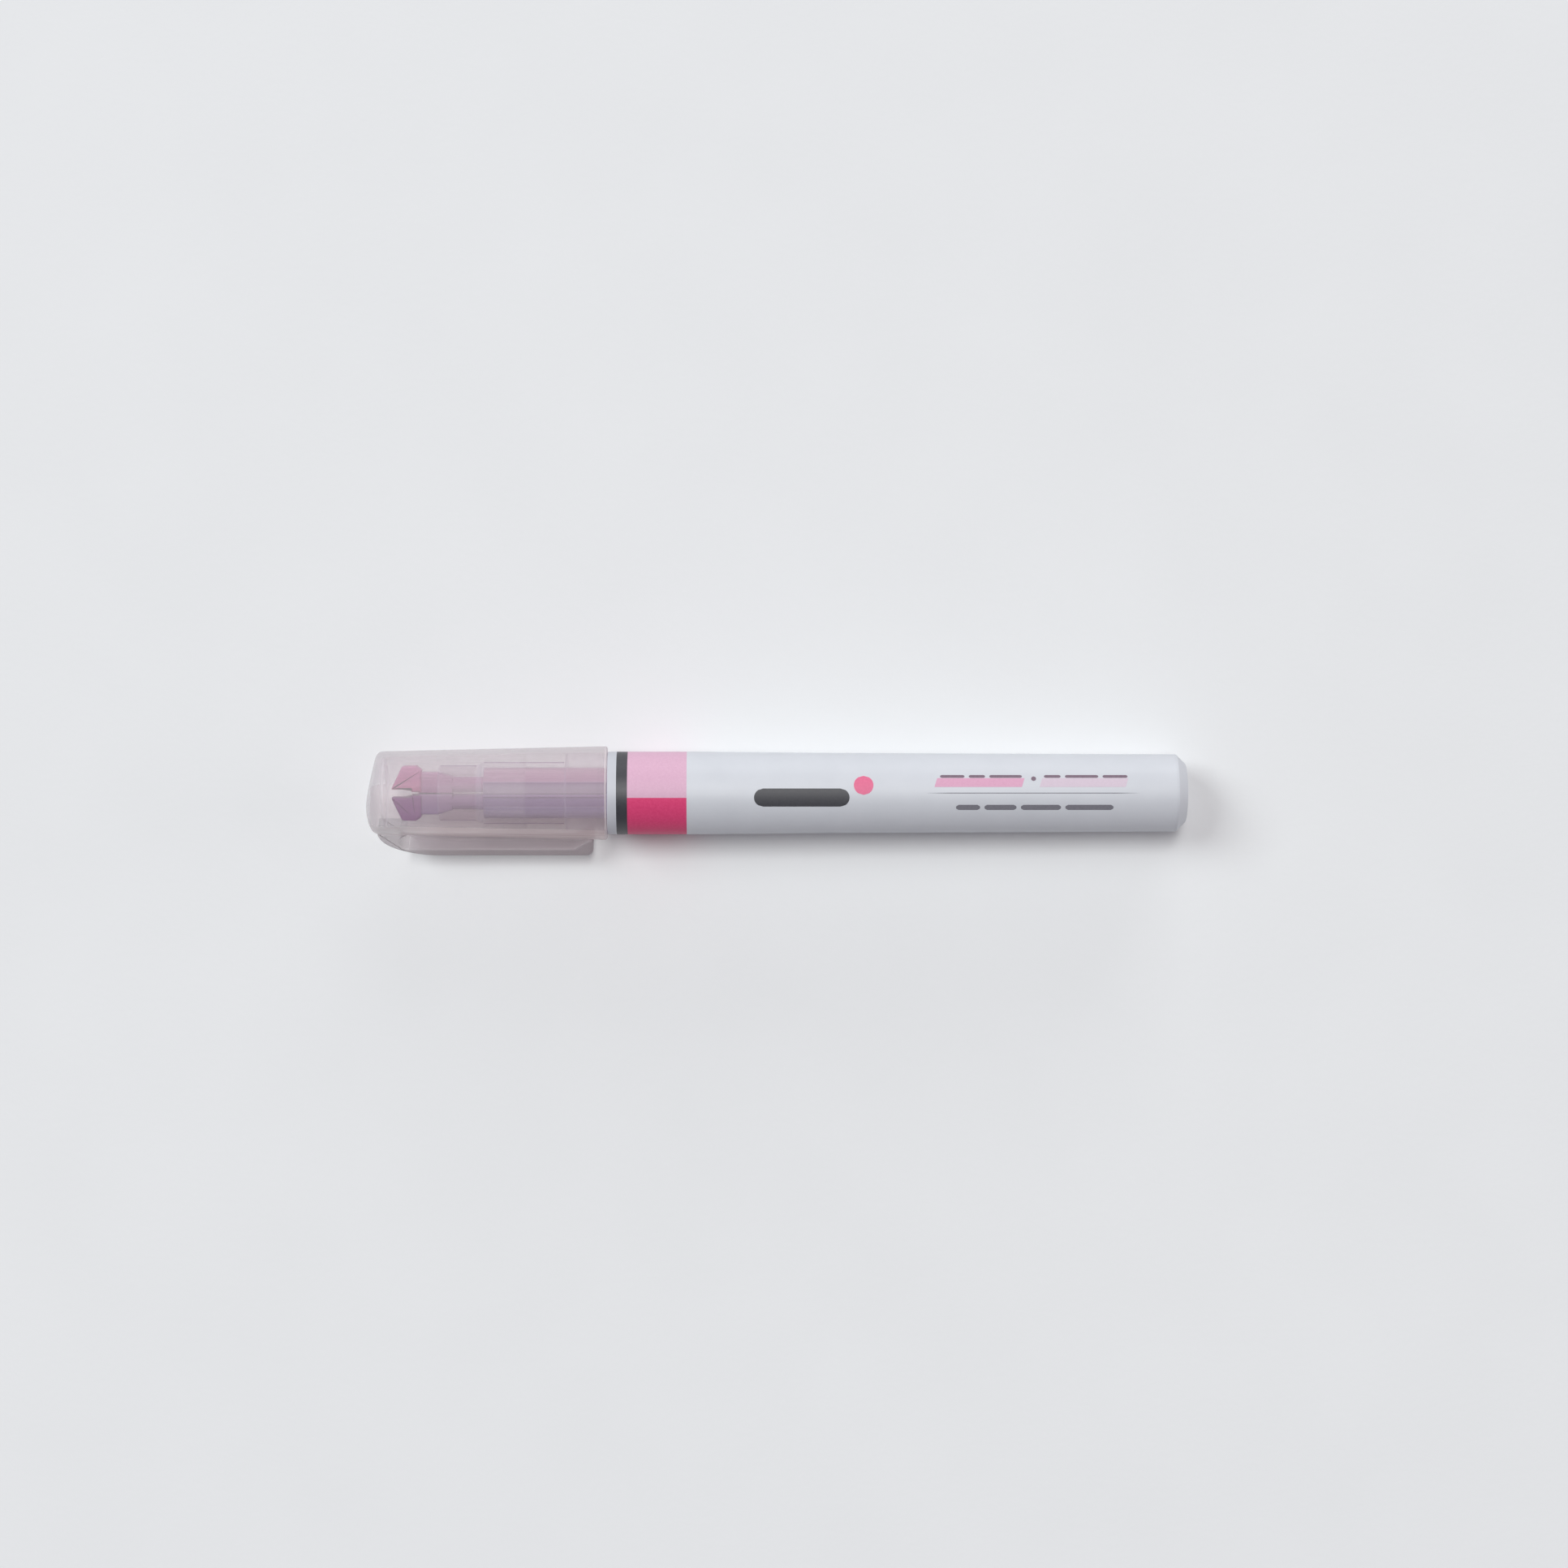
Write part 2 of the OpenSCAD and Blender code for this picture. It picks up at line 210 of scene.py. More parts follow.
def inwards(outline, distance):
    """The closed outline, anticlockwise, moved inwards by a distance."""
    made = []
    for i, point in enumerate(outline):
        p = Vector(point)
        a = (p - Vector(outline[i - 1])).normalized()
        b = (Vector(outline[(i + 1) % len(outline)]) - p).normalized()
        normal = Vector((-a.y - b.y, a.x + b.x))
        made.append(tuple(p + normal * distance / max(0.5, 1 + a.dot(b))))
    return made


# ---------------------------------------------------------------- solids
WELD = 1e-8  # points closer than this, in metres, are one
ON_AXIS = 1e-6
SHARP = math.radians(32)
PARALLEL = 0.9999
FLAT_SIDES = {}  # object name: direction of its flat sides, which keep an even shade to their edges


def build(name, points, faces, placed, flat=None):
    """A mesh object from points in mm, placed in the row frame, with outward normals."""
    mesh = bpy.data.meshes.new(name)
    mesh.from_pydata([placed @ Vector(p) for p in points], [], faces)
    obj = bpy.data.objects.new(name, mesh)
    bpy.context.scene.collection.objects.link(obj)
    if flat:
        FLAT_SIDES[obj.name] = (placed.to_3x3() @ Vector(flat)).normalized()
    finish_mesh(obj)
    return obj


def finish_mesh(obj):
    """Outward normals, and smooth shading that breaks at real edges."""
    bm = bmesh.new()
    bm.from_mesh(obj.data)
    bmesh.ops.remove_doubles(bm, verts=bm.verts, dist=WELD)
    bmesh.ops.dissolve_degenerate(bm, edges=bm.edges, dist=WELD)
    bmesh.ops.recalc_face_normals(bm, faces=bm.faces)
    for face in bm.faces:
        face.smooth = True
    flat = FLAT_SIDES.get(obj.name, Vector())
    for edge in bm.edges:
        sides = {abs(face.normal.dot(flat)) > PARALLEL for face in edge.link_faces}
        edge.smooth = (len(edge.link_faces) == 2 and len(sides) == 1
                       and edge.calc_face_angle(0) < SHARP)
    bm.to_mesh(obj.data)
    bm.free()


def lathe(name, outline, placed, around=144, arc_deg=None):
    """Turns an outline of (radius, height) about the axis: fully, or through arc_deg = (from, to).
    An outline that starts and ends on the axis is left open there."""
    open_ended = outline[0][0] < ON_AXIS and outline[-1][0] < ON_AXIS
    start, end = arc_deg or (0, 360)
    full = arc_deg is None
    turns = around if full else around + 1
    points, index = [], []
    for r, z in outline:
        if r < ON_AXIS:
            index.append([len(points)] * turns)
            points.append((0, 0, z))
            continue
        index.append(list(range(len(points), len(points) + turns)))
        for k in range(turns):
            a = math.radians(start + (end - start) * k / around)
            points.append((r * math.cos(a), r * math.sin(a), z))
    faces = []
    rows = len(outline)
    for i in range(rows - 1 if open_ended else rows):
        low, high = index[i], index[(i + 1) % rows]
        for k in range(around):
            n = (k + 1) % turns
            face = list(dict.fromkeys((low[k], low[n], high[n], high[k])))
            if len(face) > 2:
                faces.append(face)
    if not full:
        faces += [[row[0] for row in index], [row[-1] for row in reversed(index)]]
    return build(name, points, faces, placed)


def radial(u, v, w):
    """Stands a slab's outline in the plane of the axis and X: u outwards, v up, w to the side."""
    return (u, w, v)


def slab(name, outline, width, edge, placed, upright=radial, steps=4):
    """An outline made solid to a width, with its edges rounded. upright(u, v, w) gives the point in
    mm for a point (u, v) of the outline at a distance w from the middle."""
    layers = []
    for side in (-1, 1):
        turn = range(steps, -1, -1) if side < 0 else range(steps + 1)
        for k in turn:
            a = math.pi / 2 * k / steps
            across = side * (width / 2 - edge + edge * math.sin(a))
            shrunk = inwards(outline, edge * (1 - math.cos(a)))
            layers.append([upright(u, v, across) for u, v in shrunk])
    n = len(outline)
    points = [p for layer in layers for p in layer]
    faces = []
    for i in range(len(layers) - 1):
        for k in range(n):
            m = (k + 1) % n
            faces.append((i * n + k, i * n + m, (i + 1) * n + m, (i + 1) * n + k))
    faces.append(tuple(range(n - 1, -1, -1)))
    faces.append(tuple(range(len(points) - n, len(points))))
    return build(name, points, faces, placed, flat=upright(0, 0, 1))


def fins(count, first_deg, outline, width, edge, placed):
    """Slabs on one outline, evenly spaced round the axis."""
    turns = [math.radians(360 / count * i + first_deg) for i in range(count)]
    return [slab("rib", outline, width, edge, placed @ Matrix.Rotation(turn, 4, "Z"))
            for turn in turns]


def cut(obj, point, normal):
    """Keeps the part of a solid on the normal's side of a plane, and closes the cut."""
    bm = bmesh.new()
    bm.from_mesh(obj.data)
    everything = bm.verts[:] + bm.edges[:] + bm.faces[:]
    bmesh.ops.bisect_plane(bm, geom=everything, plane_co=point, plane_no=normal, clear_inner=True)
    edges = [e for e in bm.edges if e.is_boundary]
    bmesh.ops.holes_fill(bm, edges=edges)
    bm.to_mesh(obj.data)
    bm.free()
    finish_mesh(obj)


def combine(obj, others, operation):
    """Adds the other solids to obj, or takes them away, and removes them."""
    for other in others:
        modifier = obj.modifiers.new("combine", "BOOLEAN")
        modifier.operation = operation
        modifier.solver = "MANIFOLD"
        modifier.object = other
        bpy.context.view_layer.update()
        evaluated = obj.evaluated_get(bpy.context.evaluated_depsgraph_get())
        mesh = bpy.data.meshes.new_from_object(evaluated)
        obj.modifiers.clear()
        obj.data = mesh
        bpy.data.objects.remove(other)
        finish_mesh(obj)
    return obj


def classify(obj, placed, pick):
    """Gives each face the material whose index pick(centre, normal) returns. Both are in the frame
    placed."""
    to_pen = placed.inverted()
    turned = to_pen.to_3x3()
    for face in obj.data.polygons:
        face.material_index = pick(to_pen @ face.center, (turned @ face.normal).normalized())


def from_axis(point):
    return math.hypot(point.x, point.y)


# ---------------------------------------------------------------- materials
def nodes_of(material):
    material.use_nodes = True
    tree = material.node_tree
    return tree, tree.nodes["Principled BSDF"]


def noise(tree, scale, stretch=(1, 1, 1), detail=4, roughness=0.5):
    """A noise over the piece's own coordinates; scale is in features per metre."""
    coords = tree.nodes.new("ShaderNodeTexCoord")
    mapping = tree.nodes.new("ShaderNodeMapping")
    mapping.inputs["Scale"].default_value = stretch
    texture = tree.nodes.new("ShaderNodeTexNoise")
    texture.inputs["Scale"].default_value = scale
    texture.inputs["Detail"].default_value = detail
    texture.inputs["Roughness"].default_value = roughness
    tree.links.new(coords.outputs["Object"], mapping.inputs["Vector"])
    tree.links.new(mapping.outputs["Vector"], texture.inputs["Vector"])
    return texture.outputs["Fac"]


def ramp(tree, value, stops):
    """Colours along a value: stops are (position, colour)."""
    node = tree.nodes.new("ShaderNodeValToRGB")
    elements = node.color_ramp.elements
    while len(elements) < len(stops):
        elements.new(0.5)
    for element, (place, colour) in zip(elements, stops):
        element.position = place
        element.color = (*colour, 1)
    tree.links.new(value, node.inputs["Fac"])
    return node.outputs["Color"]


def spread(tree, value, low, high):
    """Maps a noise's middle range, 0.3 to 0.7, to low..high."""
    node = tree.nodes.new("ShaderNodeMapRange")
    node.inputs["From Min"].default_value = 0.3
    node.inputs["From Max"].default_value = 0.7
    node.inputs["To Min"].default_value = low
    node.inputs["To Max"].default_value = high
    tree.links.new(value, node.inputs["Value"])
    return node.outputs["Result"]


def position(tree, direction, origin, low, high):
    """Goes from 0 to 1 along a direction on the piece, from low to high, in mm past the origin."""
    coords = tree.nodes.new("ShaderNodeTexCoord")
    dot = tree.nodes.new("ShaderNodeVectorMath")
    dot.operation = "DOT_PRODUCT"
    dot.inputs[1].default_value = direction
    tree.links.new(coords.outputs["Object"], dot.inputs[0])
    node = tree.nodes.new("ShaderNodeMapRange")
    start = origin.dot(direction)
    node.inputs["From Min"].default_value = start + low * MM
    node.inputs["From Max"].default_value = start + high * MM
    tree.links.new(dot.outputs["Value"], node.inputs["Value"])
    return node.outputs["Result"]


def multiply(tree, a, b):
    node = tree.nodes.new("ShaderNodeMix")
    node.data_type = "RGBA"
    node.blend_type = "MULTIPLY"
    node.inputs["Factor"].default_value = 1.0
    tree.links.new(a, node.inputs[6])
    tree.links.new(b, node.inputs[7])
    return node.outputs[2]


def bump(tree, shader, value, distance):
    """Adds height in metres to a shader's surface, over any bump that it already has."""
    node = tree.nodes.new("ShaderNodeBump")
    node.inputs["Strength"].default_value = 1.0
    node.inputs["Distance"].default_value = distance
    tree.links.new(value, node.inputs["Height"])
    before = shader.inputs["Normal"].links
    if before:
        tree.links.new(before[0].from_socket, node.inputs["Normal"])
    tree.links.new(node.outputs["Normal"], shader.inputs["Normal"])


def moulded(name, dark, light, roughness, alpha=1.0, grain=2e-6, stops=None):
    """Moulded plastic: faint clouds of tone, lengthwise flow streaks, a fine surface grain. stops,
    if given, are (height on the cap, tint) and change the tone along the pen."""
    material = bpy.data.materials.new(name)
    tree, shader = nodes_of(material)
    clouds = noise(tree, 160, detail=5, roughness=0.6)
    colour = ramp(tree, clouds, [(0.25, dark), (0.75, light)])
    if stops:
        place = position(tree, AXIS, ORIGIN, 0, CAP_LEN)
        tints = ramp(tree, place, [(z / CAP_LEN, tint) for z, tint in stops])
        colour = multiply(tree, colour, tints)
    tree.links.new(colour, shader.inputs["Base Color"])
    fine = noise(tree, 3800, detail=3)
    flow = noise(tree, 700, stretch=(0.03, 1, 1), detail=3)
    tree.links.new(spread(tree, flow, *roughness), shader.inputs["Roughness"])
    bump(tree, shader, flow, 1.5e-6)
    bump(tree, shader, fine, grain)
    shader.inputs["Alpha"].default_value = alpha
    shader.inputs["IOR"].default_value = 1.49
    return material


def fibrous(name, stops, weave):
    """Ink-soaked fibres that run along the pen. stops are (distance from the pen's middle plane
    towards the rose side, colour); weave is (features per metre, stretch along the pen, depth)."""
    material = bpy.data.materials.new(name)
    tree, shader = nodes_of(material)
    scale, stretch, depth = weave
    fibres = noise(tree, scale, stretch=(stretch, 1, 1), detail=6, roughness=0.65)
    across = position(tree, ROSE_SIDE, ORIGIN, -SPAN, SPAN)
    colour = ramp(tree, across, [((y + SPAN) / (2 * SPAN), tone) for y, tone in stops])
    shade = ramp(tree, fibres, [(0.3, (0.86, 0.84, 0.86)), (0.7, (1.0, 1.0, 1.0))])
    tree.links.new(multiply(tree, colour, shade), shader.inputs["Base Color"])
    blotches = noise(tree, 900, detail=4)
    tree.links.new(spread(tree, blotches, 0.75, 0.95), shader.inputs["Roughness"])
    bump(tree, shader, fibres, depth)
    shader.inputs["Sheen Weight"].default_value = 0.25
    return material


def printed(name, dark, light, roughness=0.42, gloss=0.15):
    """Pad-printed ink: nearly even, with a fine mottle."""
    material = bpy.data.materials.new(name)
    tree, shader = nodes_of(material)
    mottle = noise(tree, 2600, detail=6, roughness=0.7)
    tree.links.new(ramp(tree, mottle, [(0.3, dark), (0.7, light)]), shader.inputs["Base Color"])
    uneven = spread(tree, mottle, roughness - 0.05, roughness + 0.05)
    tree.links.new(uneven, shader.inputs["Roughness"])
    bump(tree, shader, mottle, 3e-6)
    shader.inputs["Specular IOR Level"].default_value = gloss
    return material


SPAN = 5.0  # the colour of felt and fibre is set from -SPAN to SPAN mm across the pen
ROSE_SIDE = (PEN.to_3x3() @ Vector((0, 1, 0))).normalized()

# Roughness ranges of the plastics.
MILKY, NATURAL, LINER = (0.26, 0.38), (0.3, 0.4), (0.3, 0.42)
DULL, SATIN = (0.4, 0.5), (0.42, 0.52)

# Weaves for fibrous().
FELT = (2600, 0.35, 0.00002)
FIBRE = (1500, 0.02, 0.00003)

# Tints of the cap's plastic at heights from its closed end.
CAP_TINTS = [(0, (0.97, 0.98, 1.04)), (6, (0.99, 1.0, 1.01)), (30, (1.0, 0.985, 0.985)),
             (39, (1.0, 0.96, 0.965))]
# The strip of painted light on the clip's side of the cap goes darker towards the closed end.
FLANK_TINTS = [(0, (0.72, 0.76, 0.79)), (4, (0.84, 0.88, 0.90)), (12, (1.0, 1.0, 1.0)),
               (39, (1.0, 0.97, 0.97))]
# The clip goes darker towards its tip.
CLIP_TINTS = [(0, (1.0, 1.02, 1.02)), (5, (1.0, 1.01, 1.01)), (12, (0.96, 0.95, 0.95)),
              (39, (0.93, 0.9, 0.91))]

milky = moulded("milky_plastic", (0.48, 0.395, 0.425), (0.52, 0.435, 0.465), MILKY,
                alpha=0.33, stops=CAP_TINTS)
# A lighter, denser strip on the clip's side of the cap, its shaded lower side at rest: painted light that stands
# in for light passed round through the milky plastic.
milky_painted_light = moulded("milky_plastic_flank", (0.73, 0.595, 0.60), (0.77, 0.635, 0.64), MILKY,
                      alpha=0.48, stops=FLANK_TINTS)
# The clip and its root: a darker base, partly the thick plastic and partly painted shade standing in for the cap's
# shadow on the clip, which the shell does not cast.
thick_milky_painted_shade = moulded("milky_plastic_thick", (0.40, 0.345, 0.365), (0.45, 0.395, 0.415), MILKY,
                      alpha=0.5, stops=CLIP_TINTS)
milky_inside = moulded("milky_plastic_inside", (0.80, 0.70, 0.72), (0.84, 0.74, 0.76), DULL,
                       alpha=0.06)
milky_rim = moulded("milky_plastic_rim", (0.70, 0.62, 0.65), (0.74, 0.66, 0.69), DULL, alpha=0.72)
seam = moulded("milky_plastic_seam", (0.84, 0.78, 0.79), (0.86, 0.80, 0.81), (0.5, 0.6), alpha=0.01)
liner = moulded("liner_plastic", (0.86, 0.82, 0.86), (0.90, 0.86, 0.90), LINER, alpha=0.05)
# A denser, lighter rim at the inner cap's closed end: a painted highlight, the light line along that edge.
liner_rim_painted_highlight = moulded("liner_plastic_edge", (0.88, 0.86, 0.90), (0.92, 0.90, 0.94), LINER,
                     alpha=0.30)
natural = moulded("natural_plastic", (0.76, 0.66, 0.80), (0.82, 0.72, 0.86), NATURAL, alpha=0.07)
# Darker violet strips along the holder's two sides as seen from above at rest: painted refraction lines, the ink
# colour a clear tube shows at its edges.
natural_painted_edge_lines = moulded("natural_plastic_edge", (0.30, 0.16, 0.36), (0.34, 0.20, 0.40), NATURAL,
                       alpha=0.5)
natural_nose = moulded("natural_plastic_nose", (0.52, 0.34, 0.46), (0.58, 0.40, 0.52), NATURAL,
                       alpha=0.18)
natural_rim = moulded("natural_plastic_rim", (0.64, 0.56, 0.72), (0.70, 0.62, 0.78), (0.25, 0.35),
                      alpha=0.22)
natural_web = moulded("natural_plastic_web", (0.24, 0.14, 0.29), (0.28, 0.18, 0.33), DULL,
                      alpha=0.95)
white = moulded("white_plastic", (0.64, 0.655, 0.70), (0.675, 0.69, 0.735), SATIN,
                grain=3e-6)
# The barrel's front, between the cap's mouth and the ring, darker and bluer: painted shade where the cap would
# shade it, as the shell casts no shadow.
white_painted_shade_front = moulded("white_plastic_front", (0.56, 0.57, 0.62), (0.59, 0.60, 0.65), SATIN,
                      grain=3e-6)

felt_rose = fibrous("rose_felt", [(0, (0.40, 0.07, 0.20)), (0.9, (0.42, 0.09, 0.22)),
                                  (1.4, (0.52, 0.17, 0.32)), (4, (0.60, 0.26, 0.42))], FELT)
felt_rose_neck = fibrous("rose_felt_neck", [(0, (0.28, 0.10, 0.23)), (0.8, (0.30, 0.12, 0.25)),
                                            (1.8, (0.42, 0.20, 0.34)), (2.8, (0.54, 0.32, 0.45)),
                                            (4, (0.58, 0.36, 0.50))], FELT)
felt_plum = fibrous("plum_felt", [(-4, (0.24, 0.08, 0.25)), (0, (0.26, 0.09, 0.25))], FELT)
felt_plum_neck = fibrous("plum_felt_neck", [(-4, (0.22, 0.14, 0.29)), (0, (0.36, 0.22, 0.36))],
                         FELT)
# Rose core: darker across the middle, lighter towards its flank, with a thin painted highlight line about 2.2 mm
# from the middle.
rose_core_and_highlight = fibrous("rose_fibre", [(0, (0.12, 0.05, 0.14)), (2.12, (0.14, 0.06, 0.16)),
                                   (2.2, (0.42, 0.27, 0.40)), (2.28, (0.42, 0.27, 0.40)),
                                   (2.36, (0.42, 0.22, 0.33)), (4, (0.58, 0.38, 0.47))], FIBRE)
# Plum core: darker across the middle, lighter towards its flank, with a thin painted highlight line about 1.9 mm
# from the middle.
plum_core_and_highlight = fibrous("plum_fibre", [(-4, (0.50, 0.41, 0.55)), (-3.4, (0.41, 0.33, 0.51)),
                                   (-2.0, (0.34, 0.27, 0.46)), (-1.92, (0.42, 0.33, 0.48)),
                                   (-1.84, (0.42, 0.33, 0.48)), (-1.76, (0.25, 0.165, 0.34)),
                                   (0, (0.25, 0.16, 0.33))], FIBRE)
clear = moulded("clear_film", (0.80, 0.70, 0.84), (0.86, 0.76, 0.90), (0.15, 0.25), alpha=0.04)

ink_grey = printed("grey_ink", (0.045, 0.045, 0.053), (0.062, 0.062, 0.072), 0.5, 0.6)
ink_soft = printed("soft_grey_ink", (0.19, 0.185, 0.215), (0.225, 0.22, 0.25))
ink_violet = printed("violet_grey_ink", (0.215, 0.15, 0.195), (0.255, 0.19, 0.235))
ink_ring = printed("ring_ink", (0.034, 0.034, 0.042), (0.048, 0.048, 0.058), 0.5, 0.75)
ink_pale = printed("pale_pink_ink", (0.70, 0.42, 0.56), (0.76, 0.48, 0.62))
ink_faint = printed("faint_pink_ink", (0.67, 0.555, 0.645), (0.71, 0.595, 0.685))
ink_mid = printed("mid_pink_ink", (0.71, 0.375, 0.525), (0.76, 0.425, 0.575))
ink_rose = printed("rose_ink", (0.77, 0.165, 0.295), (0.83, 0.205, 0.345))
ink_vivid = printed("vivid_pink_ink", (0.70, 0.058, 0.175), (0.78, 0.08, 0.22))


def paint(obj, *materials):
    obj.data.materials.clear()
    for material in materials:
        obj.data.materials.append(material)
    return obj


# ---------------------------------------------------------------- cap
def smooth_max(a, b, reach):
    """The larger of two values, with the change between them rounded over a reach."""
    h = max(reach - abs(a - b), 0) / reach
    return max(a, b) + h * h * reach / 4


def outside_cap(x, y, z):
    """Signed distance from the cap's outside near its closed end: negative within."""
    wall = math.hypot(x, y) - cap_r(z)
    tilted_x = x * math.cos(END_SLANT) - (z - END_LEVEL) * math.sin(END_SLANT) + END_FLAT_R
    tilted_z = x * math.sin(END_SLANT) + (z - END_LEVEL) * math.cos(END_SLANT)
    out = math.hypot(tilted_x, y) - END_FLAT_R
    if out <= 0:
        end = -tilted_z
    elif tilted_z < END_DOME_R:
        end = math.hypot(out, tilted_z - END_DOME_R) - END_DOME_R
    else:
        end = out - END_DOME_R
    return smooth_max(wall, end, RIM_ROUND)


def end_point(turn, dip, centre_z):
    """Where a ray from the axis meets the cap's outside: turn is about the axis, dip downwards."""
    flat, down = math.cos(dip), math.sin(dip)
    near, far = 0.0, 20.0
    for _ in range(40):  # halves the gap between a point within and one without
        t = (near + far) / 2
        x, y = t * flat * math.cos(turn), t * flat * math.sin(turn)
        if outside_cap(x, y, centre_z - t * down) < 0:
            near = t
        else:
            far = t
    return (near * flat * math.cos(turn), near * flat * math.sin(turn), centre_z - near * down)


def make_cap():
    """The shell: inner floor, bore, seat, mouth rim, outside and slanted closed end in one grid."""
    around, dips = 144, 44
    centre_z = 9.0  # the closed end's grid looks out from this height on the axis
    bore = rounded([(0, CAP_FLOOR), (cap_r(CAP_FLOOR) - CAP_WALL, CAP_FLOOR, 0.6),
                    (cap_r(SEAT_START) - CAP_WALL, SEAT_START),
                    (SEAT_R, SEAT_START + 0.15), (SEAT_R, CAP_LEN, 0.15),
                    (MOUTH_R, CAP_LEN, 0.28), (cap_r(centre_z), centre_z)], closed=False)[1:]
    turns = [2 * math.pi * k / around for k in range(around)]
    points = [(0, 0, CAP_FLOOR)]
    rows = []
    for r, z in bore:
        rows.append(range(len(points), len(points) + around))
        points += [(r * math.cos(turn), r * math.sin(turn), z) for turn in turns]
    for i in range(1, dips):
        rows.append(range(len(points), len(points) + around))
        points += [end_point(turn, math.pi / 2 * i / dips, centre_z) for turn in turns]
    points.append(end_point(0, math.pi / 2, centre_z))
    faces = [(0, rows[0][(k + 1) % around], rows[0][k]) for k in range(around)]
    for low, high in zip(rows, rows[1:]):
        faces += [(low[k], low[(k + 1) % around], high[(k + 1) % around], high[k])
                  for k in range(around)]
    last = len(points) - 1
    faces += [(rows[-1][k], rows[-1][(k + 1) % around], last) for k in range(around)]
    return build("cap_shell", points, faces, CAP, flat=(0, 1, 0))


def clip_back(z):
    """Distance of the clip's back from the axis: a quarter ellipse, then straight."""
    rise_start, rise_end = CLIP_RISE
    foot = cap_r(0) - 0.25
    run = (rise_end - min(z, rise_end)) / (rise_end - rise_start)
    return foot + (CLIP_OUT - foot) * math.sqrt(max(0.0, 1 - run * run))


def make_clip(name):
    """The whole clip, root to tip, in one outline of (distance from the axis, height)."""
    rise_start, rise_end = CLIP_RISE
    corner, slot_r, bead_r = 1.2, 1.1, 0.6
    inside_wall = 6.35  # the root's foot ends within the cap's wall
    slot_z = BEND - 0.3  # the gap between clip and cap ends in a half circle round here
    bead_start = CLIP_END - 3.1
    longest_side, edge = 0.9, 0.45
    bead = (cap_r(CLIP_END) + 0.1 + bead_r, CLIP_END - bead_r)
    turns = np.linspace(0, math.pi / 2, 18)
    heights_up = [rise_end - (rise_end - rise_start) * math.cos(t) for t in turns]
    back = [(clip_back(z), z) for z in heights_up]
    outline = ([(inside_wall, rise_start)] + back
               + arc((CLIP_OUT - corner, CLIP_END - corner), corner, 0, 90)
               + arc(bead, bead_r, 90, 225)
               + [(CLIP_IN, bead_start)]
               + arc((CLIP_IN - slot_r, slot_z), slot_r, 0, -180, 12)
               + [(inside_wall, slot_z)])
    return slab(name, dense(outline, longest_side), CLIP_W, edge, CAP)


FLANK_HALF = math.radians(69)  # half of the lighter strip of painted light on the clip's side of the cap
AT_BEND = 0.02  # a face closer to the bend than this is on the cut between root and blade


def cap_part(centre, normal):
    """Index of the shell's material at a face: see the paint call in make_cap_and_clip."""
    r = from_axis(centre)
    if abs(centre.z - BEND) < AT_BEND and r > CLIP_IN - 0.2 and abs(normal.z) > 0.9:
        return 2  # the cut
    if centre.z > CAP_LEN - 0.3:
        return 3  # the mouth's rim
    if r < cap_r(centre.z) - 0.3 and centre.z > CAP_FLOOR - 0.05:
        return 1  # inside
    if r > cap_r(centre.z) + 0.1:
        return 4  # the clip's root
    on_flank = centre.z > END_LEVEL and abs(math.atan2(centre.y, centre.x)) < FLANK_HALF
    # Faces on the clip's side get the lighter strip of painted light.
    return 5 if on_flank else 0


def blade_part(centre, normal):
    """Index of the blade's material at a face."""
    if abs(centre.z - BEND) < AT_BEND:
        return 1  # the cut
    return 2 if normal.x < -0.5 else 0  # the side towards the cap, or the rest


def make_cap_and_clip():
    shell = make_cap()
    root, blade = make_clip("root"), make_clip("clip_blade")
    bend_point = CAP @ Vector((0, 0, BEND))
    cut(root, bend_point, -AXIS)
    cut(blade, bend_point, AXIS)
    rib_in = LINER_OUT + 0.07  # the ribs hold the inner cap
    outline = rounded([(rib_in, CAP_FLOOR - 0.2), (6.5, CAP_FLOOR - 0.2),
                       (cap_r(LINER_TOP) - CAP_WALL + 0.2, LINER_TOP, 0.1),
                       (rib_in, LINER_TOP, 0.2)])
    ribs = fins(6, 30, outline, width=0.7, edge=0.1, placed=CAP)
    combine(shell, [root, *ribs], "UNION")
    paint(shell, milky, milky_inside, seam, milky_rim, thick_milky_painted_shade, milky_painted_light)
    classify(shell, CAP, cap_part)
    paint(blade, thick_milky_painted_shade, seam, milky)
    classify(blade, CAP, blade_part)
    shell.visible_shadow = False  # milky plastic passes most light on: what is inside stays lit
    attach(shell, "cap")
    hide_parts("cap")
    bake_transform(blade)
    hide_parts("clip")


make_cap_and_clip()


# ---------------------------------------------------------------- inner cap
def make_inner_cap():
    floor = LINER_START + 0.65
    outline = rounded([(0, LINER_START), (LINER_OUT, LINER_START, 0.5), (LINER_OUT, LINER_TOP, 0.1),
                       (LINER_IN + 0.25, LINER_TOP, 0.1), (LINER_IN, LINER_TOP - 0.4, 0.3),
                       (LINER_IN, floor, 0.5), (0, floor)], closed=False)
    piece = paint(lathe("seal_liner", outline, CAP), liner, liner_rim_painted_highlight)
    # The rounded rim at the closed end gets the painted highlight.
    classify(piece, CAP, lambda centre, normal: int(from_axis(centre) > LINER_OUT - 0.5
                                                    and centre.z < LINER_START + 0.45))
    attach(piece, "cap_carrier")
    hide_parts("inner_cap")


make_inner_cap()

# ---------------------------------------------------------------- nibs and holder
def stem(name, side, r, end):
    """A rod along a nib's stem, from within its neck."""
    start = TAPER_END - 1
    return lathe(name, [(0, start), (r, start), (r, end), (0, end)],
                 PEN @ Matrix.Translation((0, side * STEM_Y, 0)), around=40)


